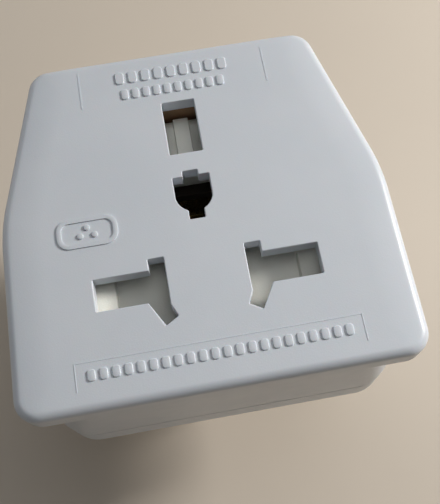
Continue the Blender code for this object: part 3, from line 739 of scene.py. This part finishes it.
def pin_slot(name, centre, half, z):
    """A cutter with clearance all round a pin of half-sizes half."""
    spans = [(middle - reach - GAP, middle + reach + GAP) for middle, reach in zip(centre, half)]
    return box(name, *spans, z)


def make_base(materials):
    inner = BODY_INSET + BODY_WALL
    lip = inner + GAP
    edge, steps = BASE_EDGE_RADIUS, 5
    levels = []
    for k in range(steps + 1):
        angle = math.pi / 2 * k / steps
        levels.append((edge - edge * math.cos(angle), BODY_INSET + edge - edge * math.sin(angle)))
    levels += [(SPLIT_Z, BODY_INSET), (SPLIT_Z, lip), (LIP_TOP, lip)]
    base = casing_solid("plug_side_base", levels, bottom_radius=BODY_CORNER_RADIUS)
    hollow = [(FLOOR_THICKNESS, lip + LIP_WALL), (LIP_TOP + OVERRUN, lip + LIP_WALL)]
    cut(base, [casing_solid("base_hollow", hollow, bottom_radius=BODY_CORNER_RADIUS)])
    combine(base, at_screws("base_boss", BOSS_RADIUS, (BOSS_FOOT, LIP_TOP)))
    depth = (-OVERRUN, FLOOR_THICKNESS + OVERRUN)
    bay_x = (DRAWER_LOW[0] - GAP, DRAWER_HIGH[0] + GAP)
    bay_y = (DRAWER_LOW[1] - GAP, DRAWER_HIGH[1] + GAP)
    holes = [
        box("bay_hole", bay_x, bay_y, depth),
        pin_slot("earth_pin_hole", (0, EARTH_Y), (EARTH_HALF_X, EARTH_HALF_Y), depth),
    ]
    for side in (-1, 1):
        half = (PIN_WIDTH / 2, PIN_THICKNESS / 2)
        holes.append(pin_slot(f"pin_hole_{side}", (side * PIN_X, 0), half, depth))
    holes += at_screws("head", HEAD_RADIUS + GAP, (-OVERRUN, HEAD_SEAT_Z))
    holes += at_screws("shank", PILOT_RADIUS, (HEAD_SEAT_Z - OVERRUN, LIP_TOP + OVERRUN))
    cut(base, holes)
    soften(base, width=0.18)
    return finish_piece(base, materials["casing"], "casing", "casing", "plug_base")


def make_drawer(materials):
    x, y = (DRAWER_LOW[0], DRAWER_HIGH[0]), (DRAWER_LOW[1], DRAWER_HIGH[1])
    drawer = box("fuse_drawer_body", x, y, (0.0, DRAWER_FLOOR))
    root = DRAWER_FLOOR - DRAWER_ROOT
    pieces = [box("saddle", (-SADDLE_HALF_X, SADDLE_HALF_X), y, (root, FUSE_Z))]
    for side in (-1, 1):
        stop_x, stop_y = mirrored_span(side, *STOP_X), (FUSE_Y - STOP_HALF_Y, FUSE_Y + STOP_HALF_Y)
        pieces.append(box(f"end_stop_{side}", stop_x, stop_y, (root, STOP_TOP)))
    combine(drawer, pieces)
    radius = FUSE_RADIUS + GAP
    reach = SADDLE_HALF_X + OVERRUN
    notch = [(1.8, -OVERRUN), (1.4, 0.9)]
    cutters = [
        turned("trough", (FUSE_Y, FUSE_Z), [(radius, -reach), (radius, reach)], axis="X"),
        turned("finger_notch", (0, y[0]), notch),
    ]
    for i in range(GROOVE_COUNT):
        centre = ((i - (GROOVE_COUNT - 1) / 2) * GROOVE_PITCH, FUSE_Y + GROOVE_SHIFT)
        outline = rounded_rectangle(centre, *GROOVE_HALF, GROOVE_RADIUS)
        cutters.append(prism(f"grip_groove_{i}", outline, "Z", (-OVERRUN, GROOVE_DEPTH)))
    cut(drawer, cutters)
    soften(drawer, width=0.14)
    return finish_piece(drawer, materials["casing"], "fuse_drawer", "casing", "fuse_carrier")


def make_fuse(materials):
    """A ceramic tube in two drawn end caps, each with a crimped ring and a rounded end."""
    centre = (FUSE_Y, FUSE_Z)
    tube_end = FUSE_HALF_LENGTH - FUSE_END_GAP
    profile = [(FUSE_TUBE_RADIUS, -tube_end), (FUSE_TUBE_RADIUS, tube_end)]
    tube = turned("fuse_body", centre, profile, axis="X", sides=64)
    soften(tube, width=0.15, angle=50)
    finish_piece(tube, materials["ceramic"], "fuse_drawer", "ceramic", "fuse_tube")
    end, mouth = FUSE_HALF_LENGTH, FUSE_HALF_LENGTH - FUSE_CAP_LENGTH
    vent, bore, floor, rounding = 0.8, FUSE_TUBE_RADIUS + 0.2, end - 0.6, 0.5
    crimp, crimp_depth = mouth + 1.3, 0.16
    outside, steps = [(vent, end)], 4
    for k in range(steps + 1):
        angle = math.pi / 2 * k / steps
        across, along = rounding * math.sin(angle), rounding * math.cos(angle)
        outside.append((FUSE_RADIUS - rounding + across, end - rounding + along))
    outside += [
        (FUSE_RADIUS, crimp + 0.3), (FUSE_RADIUS - crimp_depth, crimp), (FUSE_RADIUS, crimp - 0.3),
        (FUSE_RADIUS, mouth + 0.1), (FUSE_RADIUS - 0.1, mouth),
    ]
    inside = [(bore, mouth), (bore, floor), (vent, floor)]
    for side, name in ((1, "line"), (-1, "load")):
        profile = [(radius, side * level) for radius, level in outside + inside]
        cap = turned(f"fuse_end_{name}", centre, profile, axis="X", sides=64, ring=True)
        soften(cap, width=0.05, segments=2, angle=38)
        finish_piece(cap, materials["plated_cap"], "fuse_drawer", "plated_cap", f"fuse_cap_{name}")


def make_shutter(materials):
    """Wings behind the line and neutral holes, and a ribbed ramp behind the earth hole."""
    height = (SHUTTER_LOW[2], ARM_TOP)
    inner_x, riser_x, outer_x = WING_X
    under, top = WING_Z
    section = [
        (inner_x, under), (outer_x, under), (outer_x, top + WING_RISE),
        (riser_x + RISER_RUN, top + RISER_HEIGHT), (riser_x, top), (inner_x, top),
    ]
    start, end = TONGUE_Y
    body = box("shutter_slider", (-ARM_OUTER_X, ARM_OUTER_X), CROSSBAR_Y, height)
    pieces = []
    for side in (-1, 1):
        arm_x = mirrored_span(side, inner_x, ARM_OUTER_X)
        pieces += [
            box(f"arm_{side}", arm_x, (WING_Y[1] - ARM_OVERLAP[0], start + ARM_OVERLAP[1]), height),
            loft(f"wing_{side}", [[(side * x, y, z) for x, z in section] for y in WING_Y]),
        ]
    ramp = [
        (start, height[0]), (end, height[0]), (end, TONGUE_TOP - 0.9),
        (end - 1.6, TONGUE_TOP), (start, TONGUE_TOP),
    ]
    rib_start, rib_top = start + TONGUE_RIB_START, TONGUE_TOP + RIB_RISE
    rib = [
        (rib_start, TONGUE_TOP - 1.0), (end, TONGUE_TOP - 1.1), (end, TONGUE_TOP - 0.2),
        (end - 3.4, rib_top), (rib_start, rib_top),
    ]
    pieces += [
        prism("tongue", ramp, "X", (-ARM_OUTER_X, ARM_OUTER_X)),
        prism("tongue_rib", rib, "X", (-TONGUE_RIB_HALF_X, TONGUE_RIB_HALF_X)),
    ]
    combine(body, pieces)
    soften(body, width=0.14)
    return finish_piece(body, materials["shutter_plastic"], "shutter", "shutter_plastic", "shutter")


def make_screen(materials):
    """A low wall on the deck that closes the view past the tongue's end, coloured brown as painted shade and
    painted warm reflected light on white plastic.
    """
    y = SHUTTER_HIGH[1] + 2 * GAP
    z = (SHUTTER_LOW[2] - SCREEN_FOOT, FACE_Z - PLATE_THICKNESS - GAP)
    wall = box("deck_screen", (-SCREEN_HALF_X, SCREEN_HALF_X), (y, y + SCREEN_THICKNESS), z)
    soften(wall, width=0.14)
    return finish_piece(wall, materials["screen"], "casing", "inner_moulding")


def make_spring(materials):
    wire, turns, steps, crowding = 0.2, 7, 16, 0.035  # crowding brings the end turns closer
    radius = (SPRING_HIGH[0] - SPRING_LOW[0]) / 2 - wire
    z_middle = (SPRING_LOW[2] + SPRING_HIGH[2]) / 2
    start, end = SPRING_LOW[1] + wire, SPRING_HIGH[1] - wire
    curve = bpy.data.curves.new("return_spring", "CURVE")
    curve.dimensions = "3D"
    curve.bevel_depth = wire * MM
    curve.bevel_resolution = 3
    curve.use_fill_caps = True
    spline = curve.splines.new("POLY")
    spline.points.add(turns * steps)
    for i, point in enumerate(spline.points):
        angle = 2 * math.pi * i / steps
        along = i / (turns * steps)
        eased = along - crowding * math.sin(4 * math.pi * along)
        x, z = radius * math.cos(angle), z_middle + radius * math.sin(angle)
        point.co = (x * MM, (start + (end - start) * eased) * MM, z * MM, 1.0)
    helix = place("spring_curve", curve)
    depsgraph = bpy.context.evaluated_depsgraph_get()
    mesh = bpy.data.meshes.new_from_object(helix.evaluated_get(depsgraph))
    mesh.shade_smooth()
    spring = place("return_spring", mesh)
    bpy.data.objects.remove(helix, do_unlink=True)
    finish_piece(spring, materials["steel"], "casing", "steel", "shutter_spring")
    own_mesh(spring)
    return spring


# ---------------------------------------------------------------- pins, sleeves and screws

def rivet_hole(centre, top):
    hole = [(RIVET_HOLE_RADIUS, top - RIVET_HOLE_DEPTH), (RIVET_HOLE_RADIUS, top + OVERRUN)]
    return turned("rivet_hole", centre, hole)


def make_pin(name, node, x, stem_top, materials):
    """A current pin, necked down under its sleeve, with a collar and a stem inside the base."""
    half_x, half_y = PIN_WIDTH / 2, PIN_THICKNESS / 2
    tip_inset, tip_length, clearance = 0.8, 1.4, 0.2
    waist = SLEEVE_WALL + clearance
    sleeve_end = -SLEEVE_LENGTH - clearance
    seat = FLOOR_THICKNESS + GAP
    shape = [
        (-PIN_LENGTH, half_x - tip_inset, half_y - tip_inset),
        (tip_length - PIN_LENGTH, half_x, half_y),
        (sleeve_end, half_x, half_y),
        (sleeve_end, half_x - waist, half_y - waist),
        (seat, half_x - waist, half_y - waist),
        (seat, FLANGE_HALF_X, FLANGE_HALF_Y),
        (FLANGE_TOP, FLANGE_HALF_X, FLANGE_HALF_Y),
        (FLANGE_TOP, STEM_HALF, STEM_HALF),
        (stem_top, STEM_HALF, STEM_HALF),
    ]
    pin = bar(name, [(z, x - a, x + a, -b, b) for z, a, b in shape])
    cut(pin, [rivet_hole((x, 0), stem_top)])
    soften(pin, width=0.3, segments=4, angle=20)
    return finish_piece(pin, materials["brass"], "casing", "brass", node)


def make_earth_pin(materials):
    seat = FLOOR_THICKNESS + GAP
    tip_inset, tip_length = (0.9, 1.0), 2.0
    flange_x, flange_y = EARTH_HALF_X + EARTH_FLANGE[0], EARTH_HALF_Y + EARTH_FLANGE[1]
    stem_y = STEM_HALF + EARTH_STEM_EXTRA
    shape = [
        (-EARTH_LENGTH, EARTH_HALF_X - tip_inset[0], EARTH_HALF_Y - tip_inset[1]),
        (tip_length - EARTH_LENGTH, EARTH_HALF_X, EARTH_HALF_Y),
        (seat, EARTH_HALF_X, EARTH_HALF_Y),
        (seat, flange_x, flange_y),
        (FLANGE_TOP, flange_x, flange_y),
        (FLANGE_TOP, STEM_HALF, stem_y),
        (NEUTRAL_STEM_TOP, STEM_HALF, stem_y),
    ]
    pin = bar("earth_blade", [(z, -a, a, EARTH_Y - b, EARTH_Y + b) for z, a, b in shape])
    cut(pin, [rivet_hole((0, EARTH_Y), NEUTRAL_STEM_TOP)])
    soften(pin, width=0.35, segments=4, angle=20)
    return finish_piece(pin, materials["brass"], "casing", "brass", "earth_pin")


def make_sleeve(name, node, x, materials):
    half_x, half_y = PIN_WIDTH / 2, PIN_THICKNESS / 2
    low, high = -SLEEVE_LENGTH, FLOOR_THICKNESS
    outer = rounded_rectangle((x, 0), half_x, half_y, 0.45, 4)
    inner = rounded_rectangle((x, 0), half_x - SLEEVE_WALL, half_y - SLEEVE_WALL, 0.2, 4)
    rings = ((outer, low), (outer, high), (inner, high), (inner, low))
    sleeve = loft(name, [[(a, b, z) for a, b in outline] for outline, z in rings], ring=True)
    soften(sleeve, width=0.1, segments=2, angle=50)
    return finish_piece(sleeve, materials["sleeve_plastic"], "casing", "sleeve_plastic", node)


def make_screw(name, node, centre, materials):
    """A pan-head screw with a cross recess and a rolled thread."""
    x, y = centre
    profile = [(HEAD_RADIUS - 0.75, 0.5), (HEAD_RADIUS - 0.3, 0.62), (HEAD_RADIUS - 0.06, 0.85),
               (HEAD_RADIUS, 1.15), (HEAD_RADIUS, 2.05), (SHANK_RADIUS, 2.1)]
    level, thread_end = THREAD_Z
    root = SHANK_RADIUS - THREAD_DEPTH
    while level < thread_end:
        profile += [(root, level), (SHANK_RADIUS, level + THREAD_PITCH * 0.5)]
        level += THREAD_PITCH
    profile += [(root, thread_end + 0.4), (0.35, thread_end + 1.7)]
    screw = turned(name, centre, profile, sides=40)
    recess = ((0.0, 1.45, 0.36), (1.5, 0.6, 0.22))  # an arm's half length and half width by level
    along = [(z, x - long, x + long, y - wide, y + wide) for z, long, wide in recess]
    across = [(z, x - wide, x + wide, y - long, y + long) for z, long, wide in recess]
    cut(screw, [bar("recess_along", along), bar("recess_across", across)])
    screw.data.shade_smooth()
    screw.data.set_sharp_from_angle(angle=math.radians(32))
    return finish_piece(screw, materials["steel"], "casing", "steel", node)


def finish_kept_nodes(materials):
    """CAD nodes whose shape is right keep it, with softened edges and real materials."""
    slots = {entry["node"]: entry["material_slot"] for entry in frame["record"]["subparts"]}
    for name, item in frame["nodes"].items():
        if name in replaced_nodes:
            continue
        item.data.materials.clear()
        item.data.materials.append(materials[slots[name]])
        bevel = item.modifiers.new("edge_radius", "BEVEL")
        bevel.width = 0.08 * MM
        bevel.segments = 2
        bevel.limit_method = "ANGLE"
        bevel.angle_limit = math.radians(40)
        weighted = item.modifiers.new("even_shading", "WEIGHTED_NORMAL")
        weighted.keep_sharp = True


# ---------------------------------------------------------------- stage

def make_floor():
    half_size, clearance = 8.0, 0.02 * MM
    shape = bmesh.new()
    bmesh.ops.create_grid(shape, x_segments=1, y_segments=1, size=half_size)
    floor = place_shape("floor", shape)
    floor.location = (0, 0, FLOOR_Z * MM - clearance)
    made = Shader("pale_floor", (0.72, 0.63, 0.52), 0.6)
    made.colour(made.mix(made.noise(60.0, 4.0), (0.74, 0.65, 0.54), (0.69, 0.60, 0.495)))
    floor.data.materials.append(made.material)


def area_light(name, origin, target, size, watts, colour):
    """A rectangular light at origin, aimed at target."""
    light = bpy.data.lights.new(name, "AREA")
    light.shape = "RECTANGLE"
    light.size, light.size_y = size
    light.energy = watts
    light.color = colour
    item = place(name, light)
    item.location = origin
    item.rotation_euler = (Vector(target) - Vector(origin)).to_track_quat("-Z", "Y").to_euler()


def make_light():
    middle = (0, 0.01, 0.015)
    area_light("key_window", (0.375, 0.095, 0.215), middle, (0.10, 0.10), 1.75, (1.0, 0.985, 0.965))
    area_light("soft_top", (0.14, 0.12, 0.6), middle, (0.45, 0.45), 0.66, (0.97, 0.985, 1.0))
    area_light("low_fill", (-0.5, -0.45, 0.16), middle, (0.6, 0.4), 0.03, (0.95, 0.97, 1.0))
    area_light("back_fill", (-0.45, 0.42, 0.08), middle, (0.5, 0.3), 0.6, (0.97, 0.985, 1.0))
    world = bpy.data.worlds.new("studio")
    world.use_nodes = True
    background = world.node_tree.nodes["Background"]
    background.inputs["Color"].default_value = (0.93, 0.96, 1.0, 1.0)
    background.inputs["Strength"].default_value = 0.085
    bpy.context.scene.world = world
    bpy.context.scene.view_settings.view_transform = "Standard"


def make_camera():
    origin = Vector((CAMERA_X, CAMERA_Y, FACE_Z + CAMERA_HEIGHT)) * MM
    forward = Vector(CAMERA_FORWARD).normalized()
    right = forward.cross(Vector(CAMERA_UP)).normalized()
    up = right.cross(forward)
    camera = bpy.data.cameras.new("camera")
    camera.sensor_width = 36.0
    camera.lens = CAMERA_LENS
    camera.shift_x, camera.shift_y = CAMERA_SHIFT
    camera.clip_start = 0.005
    item = place("camera", camera)
    rotation = Matrix((right, up, -forward)).transposed().to_4x4()
    item.matrix_world = Matrix.Translation(origin) @ rotation
    bpy.context.scene.camera = item


def main():
    make_camera()
    make_light()
    make_floor()
    materials = make_materials()
    make_cover(materials)
    make_relief(materials)
    make_shell(materials)
    make_base(materials)
    make_drawer(materials)
    make_fuse(materials)
    make_shutter(materials)
    make_screen(materials)
    make_spring(materials)
    make_pin("line_blade", "line_pin", PIN_X, LINE_STEM_TOP, materials)
    make_pin("neutral_blade", "neutral_pin", -PIN_X, NEUTRAL_STEM_TOP, materials)
    make_earth_pin(materials)
    make_sleeve("line_sleeve", "line_pin_sleeve", PIN_X, materials)
    make_sleeve("neutral_sleeve", "neutral_pin_sleeve", -PIN_X, materials)
    for side, centre in SCREW_PLACES.items():
        make_screw(f"pan_screw_{side}", f"housing_screw_{side}", centre, materials)
    finish_kept_nodes(materials)


main()
